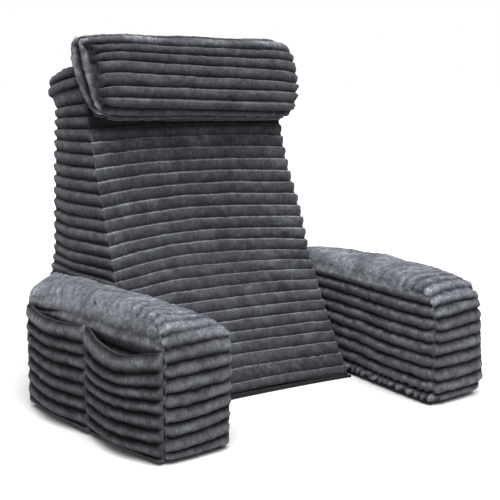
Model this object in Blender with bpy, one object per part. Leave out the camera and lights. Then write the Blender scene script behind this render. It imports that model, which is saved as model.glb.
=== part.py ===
"""A reading pillow with arms: a filled back cushion, a filled arm on each side of the seat, a
filled neck roll fixed across the top, two patch pockets on the left arm, and a plain base
cloth under the cushion and under each arm.

Metres, +Z up. X runs across the pillow and +Y to its back. The driving points below are
measured from a mark on the floor under the seat; at the end everything shifts together, so
that the origin lies on the floor under the middle of the whole pillow. The cloth is plush in
horizontal ribs. A filled piece is one closed solid whose rib crests lie on its envelope and
whose grooves lie GROOVE inside it."""

import bpy
import numpy as np

# Cloth
RIB = 0.019              # pitch of the plush ribs
GROOVE = 0.004           # depth of a groove between two ribs
PLUSH_THIN = 0.003       # thickness of the loose cloth in a groove
PLUSH_THICK = 0.0075     # thickness of the loose cloth on a crest
GAP = 0.0003             # clearance between two pieces that touch
BASE_CLOTH = 0.0025      # thickness of the base cloth
BASE_INSET = 0.004       # how far a base cloth's edge lies inside the piece above it
SOLE = BASE_CLOTH + GAP  # lowest level of the filled pieces

# Arms: which side of the seat, plan corners, how far the outer side leans in at the top, and
# the corner radius in plan
ARM_PLAN = {
    "left": {"side": -1, "front_inner": (-0.162, -0.212), "front_outer": (-0.278, -0.221),
             "rear_outer": (-0.306, 0.120), "lean": 0.0, "corner": 0.009},
    "right": {"side": 1, "front_inner": (0.173, -0.235), "front_outer": (0.298, -0.229),
              "rear_outer": (0.303, 0.122), "lean": 0.016, "corner": 0.016},
}
ARM_BEND = (0.194, 0.060)        # where the inner side of an arm meets the side of the cushion
ARM_REAR_INNER = (0.194, 0.260)  # where it ends, at the back corner of the cushion
ARM_SEAM_HEIGHT = 0.168          # height of the seam round the top of an arm
ARM_EDGE = 0.008                 # the sides roll in by this at that seam
ARM_CROWN = 0.018                # how far the top rises above the seam
ARM_CROWN_FRONT = 0.14           # share of the arm over which the top rises from the front
ARM_CROWN_REAR = 0.42            # and from the rear
ARM_INNER_BULGE = 0.009          # how far the inner side swells into the seat
ARM_FREE_SHARE = 0.36            # share of the inner side in front of the cushion
ARM_OUTER_BULGE = 0.006          # how far the outer side swells
ARM_FRONT_BULGE = 0.008          # how far the front face swells
ARM_FRONT_ROLL = 0.016           # how far the top of the front face rolls back
ARM_FRONT_ROLL_FROM = 0.135      # the height from which it does
ARM_OUTER_ROLL = 0.012           # how far the top of the outer side rolls in
ARM_OUTER_ROLL_FROM = 0.150      # the height from which it does
ARM_RIBS = round(ARM_SEAM_HEIGHT / RIB)

# Back cushion
CUSHION_HEIGHT = 0.503           # top of the front seams
CUSHION_EDGE = 0.009             # the sides roll in by this at the top
CUSHION_HALF_WIDTH = 0.183       # at the front seams
CUSHION_DEPTH = 0.150            # about the middle depth, for spacing the cells
CUSHION_SIDE_BULGE = 0.008
CUSHION_BACK_BULGE = 0.012
CUSHION_CORNER = 0.012
CUSHION_TOP_SLOPE = 0.026        # how far the top falls from front to back
CUSHION_TOP_SLOPE_FROM = 0.42    # the height from which the ribs tilt that way
CUSHION_TOP_CROWN = 0.008
CUSHION_FREE_FROM = 0.155        # the sides leave the arms over these heights
CUSHION_FREE_TO = 0.200
EAR_HEIGHT = 0.470               # level of the lump at each top corner
EAR_REACH = 0.012
EAR_SPREAD = 0.017
# One row for each level of the cushion: height, place of the front seams, depth of the dish
# in the middle of the front, place of the back.
CUSHION_LEVELS = np.array([
    # height, seam y, dish, back y
    [0.000, -0.045, 0.008, 0.274],
    [0.020, -0.033, 0.010, 0.277],
    [0.038, -0.017, 0.012, 0.280],
    [0.070, 0.004, 0.016, 0.284],
    [0.120, 0.033, 0.016, 0.284],
    [0.170, 0.061, 0.026, 0.282],
    [0.200, 0.077, 0.036, 0.280],
    [0.265, 0.100, 0.038, 0.276],
    [0.320, 0.121, 0.026, 0.271],
    [0.380, 0.141, 0.008, 0.265],
    [0.430, 0.154, 0.000, 0.260],
    [0.500, 0.174, 0.000, 0.255],
])
FRONT_RUNS = np.hypot(np.diff(CUSHION_LEVELS[:, 0]), np.diff(CUSHION_LEVELS[:, 1]))
CUSHION_RIBS = round(FRONT_RUNS.sum() / RIB)

# Neck roll: a boxed bolster that leans with the front of the cushion
ROLL_CENTRE = (-0.009, 0.1646, 0.4635)  # middle of its flat back
ROLL_LEAN = np.radians(16.0)
ROLL_TILT = 0.02                 # slope of its ribs down to the right
ROLL_HALF_WIDTH = 0.197
ROLL_HALF_HEIGHT = 0.0645
ROLL_DEPTH = 0.079
ROLL_END_BACK = 0.012            # the end gusset starts this far in front of the back
ROLL_END_DEPTH = 0.050           # and ends this far in front of it
ROLL_END_LENGTH = 0.055          # over this length the ends taper
ROLL_END_SHRINK = 0.10           # share of the height lost there
ROLL_TOP_CORNER = 0.012          # radius of the top corners at the front
ROLL_LOW_CORNER_LEFT = 0.048     # radius of the bottom corners
ROLL_LOW_CORNER_RIGHT = 0.040
ROLL_OVAL = 3                    # exponent of its section, between an ellipse and a box
ROLL_CELL_CROWDING = 1.3         # above 1, its cells crowd towards the ends
ROLL_CORNER_CURVE = 1.3          # exponent of the rounding of the bottom corners
ROLL_RIBS_UP = 7                 # ribs on the front, between the two rounded edges
ROLL_RIBS_DEEP = 3               # ribs on the top and underside

# Patch pockets on the outer side of the left arm: where each starts and ends along it at the
# foot and at the mouth, heights of the mouth at both ends, its sag, and the hollow behind
POCKETS = {
    "front": {"start": (0.004, 0.004), "end": (0.159, 0.165), "mouth": (0.146, 0.152),
              "sag": 0.014, "hollow": 0.015},
    "rear": {"start": (0.161, 0.167), "end": (0.328, 0.328), "mouth": (0.151, 0.155),
             "sag": 0.004, "hollow": 0.011},
}
POCKET_FOOT = 0.004              # height of the pockets' bottom seam
POCKET_RIBS = 8
POCKET_RISE = 0.16               # share of its height over which a pocket comes off the arm

SLATE_PLUSH = (0.050, 0.054, 0.066, 1.0)
BLACK_CLOTH = (0.012, 0.012, 0.013, 1.0)


def make_material(name, colour, roughness):
    material = bpy.data.materials.new(name)
    material.diffuse_color = colour
    material.use_nodes = True
    shader = material.node_tree.nodes["Principled BSDF"]
    shader.inputs["Base Color"].default_value = colour
    shader.inputs["Roughness"].default_value = roughness
    shader.inputs["Metallic"].default_value = 0.0
    return material


def closed_solid(name, material, cells, place):
    """The surface of a box of cells, each point put where place says.

    place takes the cell counters i, j and k as arrays and returns x, y and z. Where its map
    mirrors the box, the faces are turned round, so that they always face outwards."""
    counts = np.array(cells)
    points = [
        (i, j, k)
        for i in range(counts[0] + 1)
        for j in range(counts[1] + 1)
        for k in range(counts[2] + 1)
        if i in (0, counts[0]) or j in (0, counts[1]) or k in (0, counts[2])
    ]
    index = {point: number for number, point in enumerate(points)}
    faces = []
    for axis in range(3):
        first, second = (axis + 1) % 3, (axis + 2) % 3
        for end in (0, counts[axis]):
            for a in range(counts[first]):
                for b in range(counts[second]):
                    corners = []
                    for step_a, step_b in ((0, 0), (1, 0), (1, 1), (0, 1)):
                        corner = [0, 0, 0]
                        corner[axis] = end
                        corner[first] = a + step_a
                        corner[second] = b + step_b
                        corners.append(index[tuple(corner)])
                    faces.append(corners if end else corners[::-1])
    i, j, k = np.array(points).T
    vertices = np.stack(place(i, j, k), axis=-1)
    signed_volume = 0.0
    for corners in faces:
        a, b, c, d = vertices[corners]
        signed_volume += np.dot(a, np.cross(b, c)) + np.dot(a, np.cross(c, d))
    if signed_volume < 0:
        faces = [corners[::-1] for corners in faces]
    mesh = bpy.data.meshes.new(name)
    mesh.from_pydata(vertices.tolist(), [], faces)
    mesh.materials.append(material)
    piece = bpy.data.objects.new(name, mesh)
    bpy.context.scene.collection.objects.link(piece)
    return piece


def cell_stations(length, corner, cells):
    """Distances from 0 to length: two cells on each rounded corner, the rest even between."""
    between = np.linspace(corner, length - corner, cells - 3)
    return np.concatenate([[0.0, corner / 2], between, [length - corner / 2, length]])


def round_corners(a, b, width, depth, corner):
    """Moves the points of a rectangle on to one with rounded corners: each point keeps its
    way from the nearest point of the inner rectangle, and its distance becomes round."""
    core_a = np.clip(a, corner, width - corner)
    core_b = np.clip(b, corner, depth - corner)
    off_a = a - core_a
    off_b = b - core_b
    reach = np.maximum(np.hypot(off_a, off_b), 1e-9)
    square = np.maximum(np.abs(off_a), np.abs(off_b))
    return core_a + off_a * square / reach, core_b + off_b * square / reach


def rib_rows(foot, top, ribs, roll):
    """Levels and insets of a ribbed side, from foot to top: a tucked foot, then a crest and a
    groove for each rib, and two last rows that roll over the top edge."""
    halves = np.arange(2 * ribs)
    levels = foot + (top - foot) * halves / (2 * ribs)
    insets = np.where(halves % 2 == 0, GROOVE, 0.0)
    levels = np.append(levels, [top - 0.25 * roll, top])
    insets = np.append(insets, [0.30 * roll, roll])
    return levels, insets


def smooth(x):
    """Eases from 0 to 1."""
    x = np.clip(x, 0.0, 1.0)
    return x * x * (3 - 2 * x)


def arm_inner_x(plan, y):
    """Distance of an arm's inner side from the middle of the pillow, at depth y."""
    front_x, front_y = plan["front_inner"]
    return np.interp(y, [front_y, ARM_BEND[1]], [abs(front_x), ARM_BEND[0]])


def arm_lines(plan):
    """The inner side of an arm as distances along it with their plan points, and its outer
    side as two plan points. The inner side is toed in, then runs along the cushion; the rear,
    between the two ends, is slanted."""
    side = plan["side"]
    inner = np.array([
        plan["front_inner"],
        (side * ARM_BEND[0], ARM_BEND[1]),
        (side * ARM_REAR_INNER[0], ARM_REAR_INNER[1]),
    ])
    steps = np.linalg.norm(np.diff(inner, axis=0), axis=1)
    outer = np.array([plan["front_outer"], plan["rear_outer"]])
    return np.array([0.0, steps[0], steps.sum()]), inner, outer


def arm_ground(plan, u, b):
    """Plan point of an arm at share u of the way out and distance b along its inner side."""
    runs, inner, outer = arm_lines(plan)
    v = b / runs[-1]
    inner_x = np.interp(b, runs, inner[:, 0])
    inner_y = np.interp(b, runs, inner[:, 1])
    x = (1 - u) * inner_x + u * (outer[0, 0] + v * (outer[1, 0] - outer[0, 0]))
    y = (1 - u) * inner_y + u * (outer[0, 1] + v * (outer[1, 1] - outer[0, 1]))
    return x, y


def arm_outer_bulge(v):
    """How far the outer side of an arm swells at share v of the way back."""
    return ARM_OUTER_BULGE * np.sin(np.pi * v)


def make_arm(name, plan, material):
    """One filled arm, standing on its base cloth. i runs outwards, j backwards and k up."""
    cells = (5, 14, 2 * ARM_RIBS + 1)
    side = plan["side"]
    corner = plan["corner"]
    runs, inner, outer = arm_lines(plan)
    width = np.linalg.norm(outer[0] - inner[0])
    depth = runs[-1]
    across = cell_stations(width, corner, cells[0])
    along = cell_stations(depth, corner, cells[1])
    levels, insets = rib_rows(SOLE, ARM_SEAM_HEIGHT, ARM_RIBS, ARM_EDGE)

    def place(i, j, k):
        a, b = round_corners(across[i], along[j], width, depth, corner)
        inset = insets[k]
        a = width / 2 + (a - width / 2) * (1 - 2 * inset / width)
        b = depth / 2 + (b - depth / 2) * (1 - 2 * inset / depth)
        z = levels[k].copy()
        rise = z / ARM_SEAM_HEIGHT
        roll_back = np.clip((z - ARM_FRONT_ROLL_FROM) / (ARM_SEAM_HEIGHT - ARM_FRONT_ROLL_FROM), 0, 1)
        b = b + ARM_FRONT_ROLL * roll_back ** 2 * np.clip(1 - b / width, 0, 1) ** 2
        u = a / width
        v = b / depth
        x, y = arm_ground(plan, u, b)
        in_seat = np.sin(np.pi * np.clip(v / ARM_FREE_SHARE, 0, 1))
        into_seat = ARM_INNER_BULGE * np.sin(np.pi * rise) * in_seat * (1 - u) ** 4
        roll_in = np.clip((z - ARM_OUTER_ROLL_FROM) / (ARM_SEAM_HEIGHT - ARM_OUTER_ROLL_FROM), 0, 1)
        lean_in = plan["lean"] * rise ** 2 + ARM_OUTER_ROLL * roll_in ** 2
        x = x + side * ((arm_outer_bulge(v) - lean_in) * u ** 4 - into_seat)
        at_front = np.clip(1 - b / width, 0, 1) ** 2
        y = y - ARM_FRONT_BULGE * np.sin(np.pi * u) * (1 - rise ** 4) * at_front
        on_top = (k == cells[2]).astype(float)
        dome = np.sqrt(np.clip(1 - (2 * u - 1) ** 4, 0, 1))
        near_end = np.minimum(v / ARM_CROWN_FRONT, (1 - v) / ARM_CROWN_REAR)
        z = z + on_top * ARM_CROWN * dome * np.sqrt(np.clip(near_end, 0, 1))
        return x, y, z

    return closed_solid(name, material, cells, place)


def make_back_cushion(material):
    """The filled back cushion: i runs across, j from front to back and k up. Its front leans
    back and is dished, its lower sides stand against the arms, and its top corners stick out."""
    cells = (10, 6, 2 * CUSHION_RIBS + 1)
    width = 2 * CUSHION_HALF_WIDTH
    across = cell_stations(width, CUSHION_CORNER, cells[0])
    along = cell_stations(CUSHION_DEPTH, CUSHION_CORNER, cells[1])
    levels, insets = rib_rows(SOLE, CUSHION_HEIGHT, CUSHION_RIBS, CUSHION_EDGE)
    heights, seam_ys, dishes, back_ys = CUSHION_LEVELS.T

    def place(i, j, k):
        a, b = round_corners(across[i], along[j], width, CUSHION_DEPTH, CUSHION_CORNER)
        inset = insets[k]
        u = (2 * a / width - 1) * (1 - inset / CUSHION_HALF_WIDTH)
        v = (b / CUSHION_DEPTH - 0.5) * (1 - 2 * inset / CUSHION_DEPTH) + 0.5
        z = levels[k].copy()
        middle = 1 - u * u
        front = np.interp(z, heights, seam_ys) + np.interp(z, heights, dishes) * middle
        swell = np.sqrt(np.sin(np.pi * np.clip(z / CUSHION_HEIGHT, 0, 1)))
        back = np.interp(z, heights, back_ys) + CUSHION_BACK_BULGE * swell * middle
        y = front + v * (back - front)
        ear = EAR_REACH * np.exp(-((z - EAR_HEIGHT) / EAR_SPREAD) ** 2)
        free = CUSHION_HALF_WIDTH + CUSHION_SIDE_BULGE * np.sin(np.pi * v) + ear
        left = arm_inner_x(ARM_PLAN["left"], y)
        right = arm_inner_x(ARM_PLAN["right"], y)
        against = np.where(u < 0, left, right) - GAP
        freed = smooth((z - CUSHION_FREE_FROM) / (CUSHION_FREE_TO - CUSHION_FREE_FROM))
        half = against + freed * (free - against)
        x = u * np.where(z < CUSHION_FREE_TO, np.minimum(half, against), free)
        tilt = (z - CUSHION_TOP_SLOPE_FROM) / (CUSHION_HEIGHT - CUSHION_TOP_SLOPE_FROM)
        z = z - CUSHION_TOP_SLOPE * v * smooth(tilt)
        on_top = (k == cells[2]).astype(float)
        z = z + on_top * CUSHION_TOP_CROWN * (1 - u ** 4) * np.sin(np.pi * v)
        return x, y, z

    return closed_solid("back_cushion", material, cells, place)


def make_neck_roll(material):
    """The filled neck roll: i runs across, j up its height and k from its flat back to its
    front. Its ribs run lengthwise, and its ends narrow to a gusset two ribs wide."""
    cells = (10, 2 * ROLL_RIBS_UP, 2 * ROLL_RIBS_DEEP)
    lean_up = np.array([0.0, np.sin(ROLL_LEAN), np.cos(ROLL_LEAN)])
    lean_out = np.array([0.0, -np.cos(ROLL_LEAN), np.sin(ROLL_LEAN)])

    def place(i, j, k):
        t = 2 * i / cells[0] - 1
        t = np.sign(t) * (1 - (1 - np.abs(t)) ** ROLL_CELL_CROWDING)
        p = 2 * j / cells[1] - 1
        q = 2 * k / cells[2] - 1
        end = np.clip((np.abs(t) - 1) * ROLL_HALF_WIDTH / ROLL_END_LENGTH + 1, 0, 1)
        taper = 1 - np.sqrt(1 - end ** 2)
        near = ROLL_END_BACK * taper
        far = ROLL_DEPTH + (ROLL_END_DEPTH - ROLL_DEPTH) * taper
        # a square turned into an even oval
        square = np.maximum(np.abs(p), np.abs(q))
        reach = (np.abs(p) ** ROLL_OVAL + np.abs(q) ** ROLL_OVAL) ** (1 / ROLL_OVAL)
        reach = np.maximum(reach, 1e-9)
        p_round = p * square / reach
        q_round = q * square / reach
        grooved = ((j % 2 == 1) & (np.abs(q) == 1)) | ((k % 2 == 1) & (np.abs(p) == 1))
        shrink = np.where(grooved & (np.abs(t) < 1), GROOVE, 0.0)
        half_height = ROLL_HALF_HEIGHT * (1 - ROLL_END_SHRINK * taper)
        up = p_round * (half_height - shrink)
        out = near + (far - near) * 0.5 * (1 + q_round) - shrink * q_round
        low_corner = np.where(t < 0, ROLL_LOW_CORNER_LEFT, ROLL_LOW_CORNER_RIGHT)
        low = np.clip(1 - (up + half_height) / low_corner, 0, 1)
        high = np.clip(1 - (half_height - up) / ROLL_TOP_CORNER, 0, 1) * out / ROLL_DEPTH
        cut = low_corner * (1 - np.sqrt(1 - low ** ROLL_CORNER_CURVE))
        cut = cut + ROLL_TOP_CORNER * (1 - np.sqrt(1 - high ** 2))
        across = t * (ROLL_HALF_WIDTH - cut * np.abs(t) ** 3)
        x = ROLL_CENTRE[0] + across
        y = ROLL_CENTRE[1] + up * lean_up[1] + out * lean_out[1]
        z = ROLL_CENTRE[2] + up * lean_up[2] + out * lean_out[2]
        z = z - ROLL_TILT * across * (1 - np.clip(p_round, 0, 1) ** 2)
        return x, y, z

    return closed_solid("neck_roll", material, cells, place)


def make_pocket(name, spot, material):
    """A patch pocket: a panel of loose plush with its hem at the mouth, sewn to the outer side
    of the left arm along both sides and the foot. i runs backwards along the arm, j out
    through the cloth and k up. Between the seams it stands off the arm and leaves a hollow."""
    cells = (10, 1, 2 * POCKET_RIBS)
    plan = ARM_PLAN["left"]
    corner = np.array(plan["front_outer"])
    way = np.array(plan["rear_outer"]) - corner
    length = np.linalg.norm(way)
    way = way / length
    outwards = np.array([-way[1], way[0]])

    def place(i, j, k):
        t = 0.5 - 0.5 * np.cos(np.pi * i / cells[0])
        h = k / cells[2]
        mouth = spot["mouth"][0] + t * (spot["mouth"][1] - spot["mouth"][0])
        arch = np.sin(np.pi * t)
        z = POCKET_FOOT + h * (mouth - POCKET_FOOT) - spot["sag"] * arch ** 1.5 * h ** 3
        crest = (k % 2 == 1) | (k == cells[2])
        thick = np.where(crest, PLUSH_THICK, PLUSH_THIN)
        thick = np.where((k == 0) | (i == 0) | (i == cells[0]), PLUSH_THIN, thick)
        start = spot["start"][0] + h * (spot["start"][1] - spot["start"][0])
        end = spot["end"][0] + h * (spot["end"][1] - spot["end"][0])
        reach = start + t * (end - start)
        out = GAP + arm_outer_bulge(reach / length) + spot["hollow"] * arch * smooth(h / POCKET_RISE)
        out = out + j * thick
        x = corner[0] + reach * way[0] + out * outwards[0]
        y = corner[1] + reach * way[1] + out * outwards[1]
        return x, y, z

    return closed_solid(name, material, cells, place)


def make_arm_base(name, plan, material):
    """The base cloth of an arm, flat on the floor, its edge BASE_INSET inside the arm's."""
    cells = (2, 6, 1)
    runs, inner, outer = arm_lines(plan)
    side_inset = BASE_INSET / np.linalg.norm(outer[0] - inner[0])

    def place(i, j, k):
        u = side_inset + (1 - 2 * side_inset) * i / cells[0]
        b = BASE_INSET + (runs[-1] - 2 * BASE_INSET) * j / cells[1]
        x, y = arm_ground(plan, u, b)
        return x, y, k * BASE_CLOTH

    return closed_solid(name, material, cells, place)


def make_back_base(material):
    """The base cloth of the back cushion, between those of the arms."""
    cells = (6, 6, 1)
    front, back = CUSHION_LEVELS[0, 1], CUSHION_LEVELS[0, 3]

    def place(i, j, k):
        t = 2 * i / cells[0] - 1
        v = j / cells[1]
        dish = CUSHION_LEVELS[0, 2] * (1 - t * t) * (1 - v)
        y = front + BASE_INSET + v * (back - front - 2 * BASE_INSET) + dish
        half_left = arm_inner_x(ARM_PLAN["left"], y) - BASE_INSET
        half_right = arm_inner_x(ARM_PLAN["right"], y) - BASE_INSET
        x = t * np.where(t < 0, half_left, half_right)
        return x, y, k * BASE_CLOTH

    return closed_solid("base_back", material, cells, place)


def centre_on_floor(pieces):
    """Shifts all the pieces together, until the origin is on the floor under their middle."""
    points = np.array([vertex.co for piece in pieces for vertex in piece.data.vertices])
    middle = (points.min(axis=0) + points.max(axis=0)) / 2
    root = bpy.data.objects.new("pillow", None)
    bpy.context.scene.collection.objects.link(root)
    root.location = (-middle[0], -middle[1], 0.0)
    for piece in pieces:
        piece.parent = root


def build():
    for piece in list(bpy.data.objects):
        bpy.data.objects.remove(piece)
    plush = {
        name: make_material(name + "_plush", SLATE_PLUSH, 0.9)
        for name in ("back_cushion", "arm_left", "arm_right", "neck_roll",
                     "pocket_front", "pocket_rear")
    }
    pieces = [make_back_cushion(plush["back_cushion"])]
    for side, plan in ARM_PLAN.items():
        name = "arm_" + side
        pieces.append(make_arm(name, plan, plush[name]))
    pieces.append(make_neck_roll(plush["neck_roll"]))
    for place_name, spot in POCKETS.items():
        name = "pocket_" + place_name
        pieces.append(make_pocket(name, spot, plush[name]))
    for side, plan in ARM_PLAN.items():
        name = "base_" + side
        pieces.append(make_arm_base(name, plan, make_material(name + "_cloth", BLACK_CLOTH, 0.85)))
    pieces.append(make_back_base(make_material("base_back_cloth", BLACK_CLOTH, 0.85)))
    centre_on_floor(pieces)


build()
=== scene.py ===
import bpy
import numpy as np
from mathutils import Matrix, Vector


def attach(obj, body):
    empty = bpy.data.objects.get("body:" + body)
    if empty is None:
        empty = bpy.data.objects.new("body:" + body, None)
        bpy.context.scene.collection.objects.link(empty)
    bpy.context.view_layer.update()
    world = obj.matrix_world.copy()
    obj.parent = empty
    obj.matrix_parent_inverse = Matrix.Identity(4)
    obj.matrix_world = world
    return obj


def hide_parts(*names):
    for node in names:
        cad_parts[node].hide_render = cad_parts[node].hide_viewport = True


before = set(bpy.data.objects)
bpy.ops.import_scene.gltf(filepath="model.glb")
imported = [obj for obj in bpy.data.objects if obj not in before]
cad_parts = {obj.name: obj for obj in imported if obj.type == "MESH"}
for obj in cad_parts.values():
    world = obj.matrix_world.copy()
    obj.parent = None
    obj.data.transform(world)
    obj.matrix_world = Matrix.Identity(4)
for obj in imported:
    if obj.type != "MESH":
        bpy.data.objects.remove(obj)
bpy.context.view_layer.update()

# ----------------------------------------------------------
# Studio: a pale floor that runs into a white surround, one large soft lamp above and in front
# of the pillow, a little to the left, and the camera a little above the neck roll, looking
# down at the seat from the front left.
MARK = np.array([0.00747, -0.02822, 0.0])  # on the floor: all points here are in metres from it
FLOOR_REACH = 30.0
FLOOR_GREY = (0.68, 0.68, 0.68, 1.0)
# The surround is white up to the first height over the horizon, and grey from the second one on
SKY_STOPS = ((0.08, (1.0, 1.0, 1.0, 1.0)), (0.26, (0.46, 0.46, 0.47, 1.0)))
LAMP_WAY = (-0.30, -0.68, 1.30)
LAMP_ENERGY = 5.4
LAMP_SPREAD = np.radians(50.0)
CAMERA_PLACE = np.array([-0.9345, -1.3226, 0.4879]) + MARK
CAMERA_YAW, CAMERA_PITCH, CAMERA_ROLL = np.radians([35.575, 9.436, 0.395])
CAMERA_LENS = 77.74


def new_material(name, roughness, specular):
    """A material of the given roughness and specular level, and its shader."""
    material = bpy.data.materials.new(name)
    material.use_nodes = True
    shader = material.node_tree.nodes["Principled BSDF"]
    shader.inputs["Roughness"].default_value = roughness
    shader.inputs["Specular IOR Level"].default_value = specular
    return material, shader


scene = bpy.context.scene
scene.view_settings.view_transform = "Standard"
scene.view_settings.look = "None"
world = bpy.data.worlds.new("white_surround")
world.use_nodes = True
world_nodes, world_links = world.node_tree.nodes, world.node_tree.links
sky_way = world_nodes.new("ShaderNodeTexCoord")
sky_height = world_nodes.new("ShaderNodeSeparateXYZ")
sky_ramp = world_nodes.new("ShaderNodeValToRGB")
for element, (height, colour) in zip(sky_ramp.color_ramp.elements, SKY_STOPS):
    element.position = height
    element.color = colour
world_links.new(sky_way.outputs["Generated"], sky_height.inputs["Vector"])
world_links.new(sky_height.outputs["Z"], sky_ramp.inputs["Fac"])
world_links.new(sky_ramp.outputs["Color"], world_nodes["Background"].inputs["Color"])
world_nodes["Background"].inputs["Strength"].default_value = 1.0
scene.world = world

floor_mesh = bpy.data.meshes.new("floor")
floor_mesh.from_pydata(
    [(-FLOOR_REACH, -FLOOR_REACH, 0), (FLOOR_REACH, -FLOOR_REACH, 0),
     (FLOOR_REACH, FLOOR_REACH, 0), (-FLOOR_REACH, FLOOR_REACH, 0)], [], [(0, 1, 2, 3)])
floor = bpy.data.objects.new("floor", floor_mesh)
scene.collection.objects.link(floor)
floor_paint, floor_shader = new_material("pale_floor", 1.0, 0.0)
floor_shader.inputs["Base Color"].default_value = FLOOR_GREY
floor_mesh.materials.append(floor_paint)

overhead = bpy.data.lights.new("overhead_light", "SUN")
overhead.energy = LAMP_ENERGY
overhead.angle = LAMP_SPREAD
overhead_lamp = bpy.data.objects.new("overhead_light", overhead)
overhead_lamp.rotation_euler = Vector(LAMP_WAY).to_track_quat("Z", "Y").to_euler()
scene.collection.objects.link(overhead_lamp)

ahead = Vector((np.sin(CAMERA_YAW) * np.cos(CAMERA_PITCH),
                np.cos(CAMERA_YAW) * np.cos(CAMERA_PITCH), -np.sin(CAMERA_PITCH)))
level_right = Vector((np.cos(CAMERA_YAW), -np.sin(CAMERA_YAW), 0.0))
level_up = level_right.cross(ahead)
right = np.cos(CAMERA_ROLL) * level_right + np.sin(CAMERA_ROLL) * level_up
up = np.cos(CAMERA_ROLL) * level_up - np.sin(CAMERA_ROLL) * level_right
camera_data = bpy.data.cameras.new("camera")
camera_data.sensor_width = 36.0
camera_data.lens = CAMERA_LENS
camera = bpy.data.objects.new("camera", camera_data)
camera.matrix_world = Matrix.Translation(CAMERA_PLACE) @ Matrix(
    (right, up, -ahead)).transposed().to_4x4()
scene.collection.objects.link(camera)
scene.camera = camera

# ----------------------------------------------------------
# Arms: two boxed cushions stuffed with shredded foam, of ribbed plush. One strip of plush runs
# up the front and back over the top, its ribs crosswise; a side panel, its ribs lengthwise, is
# sewn to each edge of it. They are sewn to the sides of the back and toe in at the front.
SOLE = 0.0028  # height at which the stuffed pieces start, on their base cloth
RIB_PITCH = 0.019
RIB_DEPTH = 0.0082
ARM_TOP = 0.168
# Plan points of an arm's inner side behind its front: where it bends, and its rear end
ARM_BEND = (0.194, 0.060)
ARM_REAR_INNER = (0.194, 0.260)
# front_inner, front_outer and rear_outer are plan points of an arm's foot. The pairs are for its
# inner and outer side: how far it leans away, and the radii from front to top and along the
# foot. It swells into the seat, its top rises above the usual crown, and the seam round its top
# climbs by outer_rise. Its ribs are worn flat from the angle flat_from on over the front roll,
# and by matted more on top, which is painted lighter by top_painted_light, painted light on
# the top. cloth is its base cloth's flat size, and lines are the heights of the rib lines at its
# front inner, front outer, rear inner and rear outer edge, from its foot to the seam round its top.
ARMS = {
    "left": {
        "side": -1, "seed": 11, "cloth": (0.078, 0.397),
        "front_inner": (-0.162, -0.212), "front_outer": (-0.278, -0.221),
        "rear_outer": (-0.306, 0.120), "lean": (0.005, 0.0), "swell": 0.011, "rise": -0.002,
        "outer_corner": 0.017, "front_roll": (0.042, 0.042), "foot": (0.015, 0.016),
        "outer_rise": 0.018, "flat_from": 0.35, "matted": 0.27, "top_painted_light": 0.03,
        "lines": (
            (.0028, .0220, .0420, .0585, .0770, .0945, .1145, .1320, .1520, .1680),
            (.0028, .0150, .0345, .0530, .0725, .0910, .1115, .1310, .1500, .1680),
            (.0028, .0200, .0390, .0580, .0770, .0950, .1140, .1320, .1500, .1680),
            (.0028, .0187, .0385, .0580, .0760, .0945, .1130, .1310, .1500, .1680),
        ),
    },
    "right": {
        "side": 1, "seed": 31, "cloth": (0.084, 0.410),
        "front_inner": (0.173, -0.235), "front_outer": (0.300, -0.229),
        "rear_outer": (0.303, 0.122), "lean": (0.0, 0.024), "swell": 0.009, "rise": 0.005,
        "outer_corner": 0.032, "front_roll": (0.042, 0.052), "foot": (0.012, 0.030),
        "outer_rise": 0.0, "flat_from": 0.70, "matted": 0.32, "top_painted_light": 0.10,
        "lines": (
            (.0028, .0185, .0370, .0575, .0760, .0950, .1130, .1315, .1505, .1680),
            (.0028, .0200, .0395, .0595, .0800, .1000, .1195, .1380, .1550, .1680),
            (.0028, .0240, .0435, .0610, .0785, .0970, .1140, .1330, .1500, .1660),
            (.0028, .0200, .0390, .0580, .0770, .0960, .1150, .1330, .1510, .1680),
        ),
    },
}
ARM_CORNER = 0.017  # radius of the upright edges
ARM_INNER_EDGE, ARM_OUTER_EDGE = 0.016, 0.022  # radii of the long edges of the top
ARM_REAR_ROLL = 0.022
ARM_INNER_FOOT, ARM_REAR_FOOT = 0.009, 0.013  # radii along the foot
ARM_BELLY = 0.006  # how far the outer side bulges
BESIDE_SEAT = 0.36  # share of an arm's length, from its front, that swells into the seat
# Crown of the strip along it, from the front foot over the top
ARM_CROWN_AT = (0.0, 0.06, 0.11, 0.138, 0.16, 0.19, 0.22, 0.26)
ARM_CROWN = (0.005, 0.008, 0.007, 0.006, 0.007, 0.010, 0.015, 0.018)
FRONT_RIBS, FRONT_RIBS_TO = 8, 0.150  # ribs up the strip's front, and where the next one starts
PLEAT_PITCH, PLEAT_DEPTH = 0.013, 0.0027  # pleats low on the right arm's inner side
POCKETED_TO, POCKETED_UP_TO = 0.425, 0.152  # how far along and up the left arm has pockets
BEHIND_POCKETS = 0.0045  # how much flatter its outer side lies there
LUMP_DEPTH = 0.0014  # unevenness of the stuffing
UNDER_PAINTED_SHADE = 0.1  # painted shade of the plush that lies on a base cloth, underneath
# The pile: height of its tufts, and the sizes of its unevenness, from tufts to broad blotches
TUFT_HEIGHT = 0.0004
TUFT_SIZE = 0.0045
NAP_SIZE = 0.0075
RIB_CHANGE_SIZE = 0.030
BLOTCH_SIZE = 0.022
PLUSH_DEEP = (0.050, 0.052, 0.059, 1.0)
PLUSH_PALE = (0.112, 0.117, 0.133, 1.0)
PLUSH_SHEEN = (0.78, 0.80, 0.88, 1.0)
# Where the grid lines lie within a rib, as shares of it: close together at the groove
FINE_STEPS = np.array([0.0, 0.05, 0.11, 0.19, 0.30, 0.43, 0.57, 0.70, 0.81, 0.89, 0.95])


def rib_lines(ribs):
    """Rib coordinate of each grid line: a whole number in a groove, halves on a crest."""
    return np.append((np.arange(ribs)[:, None] + FINE_STEPS).ravel(), ribs)


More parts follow.
